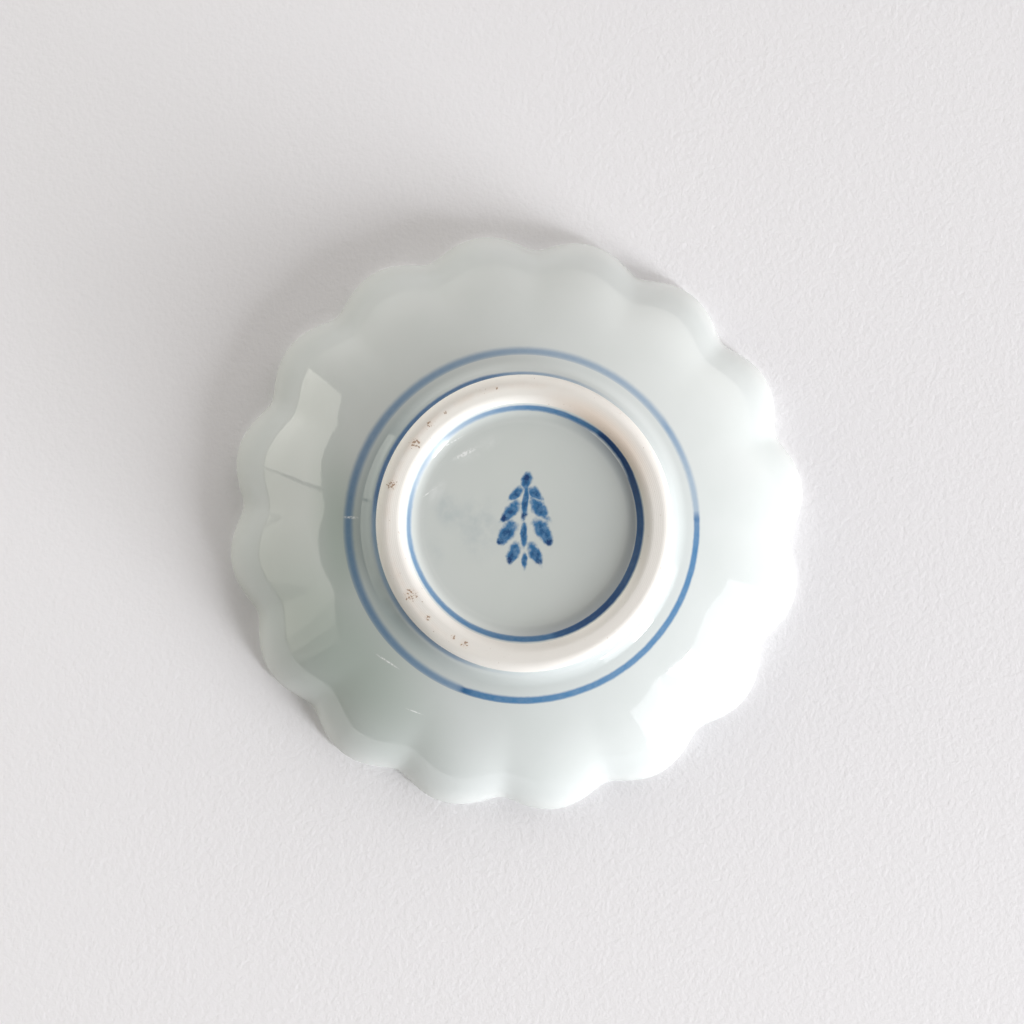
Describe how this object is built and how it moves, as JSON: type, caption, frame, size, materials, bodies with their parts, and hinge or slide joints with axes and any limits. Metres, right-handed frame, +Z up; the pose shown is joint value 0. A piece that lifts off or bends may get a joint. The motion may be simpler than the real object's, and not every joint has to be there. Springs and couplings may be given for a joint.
{
  "type": "sauce dish",
  "caption": "Shallow round porcelain sauce dish with a lobed flower rim, a foot ring with a bare lip, pale celadon glaze and banded cobalt lines round the foot.",
  "frame": {"origin": "centre of the foot ring's base, on the surface that the dish stands on", "axes": "+Z up out of the open dish, along its axis; +X through the tip of a lobe"},
  "size_m": [0.1, 0.1, 0.0215],
  "materials": {
    "porcelain": "matte",
    "bare_lip": "matte",
    "celadon_glaze": "gloss",
    "cobalt_line": "gloss"
  },
  "bodies": {
    "root": {"bowl": "porcelain", "foot_ring": "bare_lip", "wall_glaze": "celadon_glaze", "wall_line": "cobalt_line", "foot_glaze": "celadon_glaze", "foot_outer_line": "cobalt_line", "foot_inner_line": "cobalt_line", "recess_glaze": "celadon_glaze"}
  },
  "joints": []
}
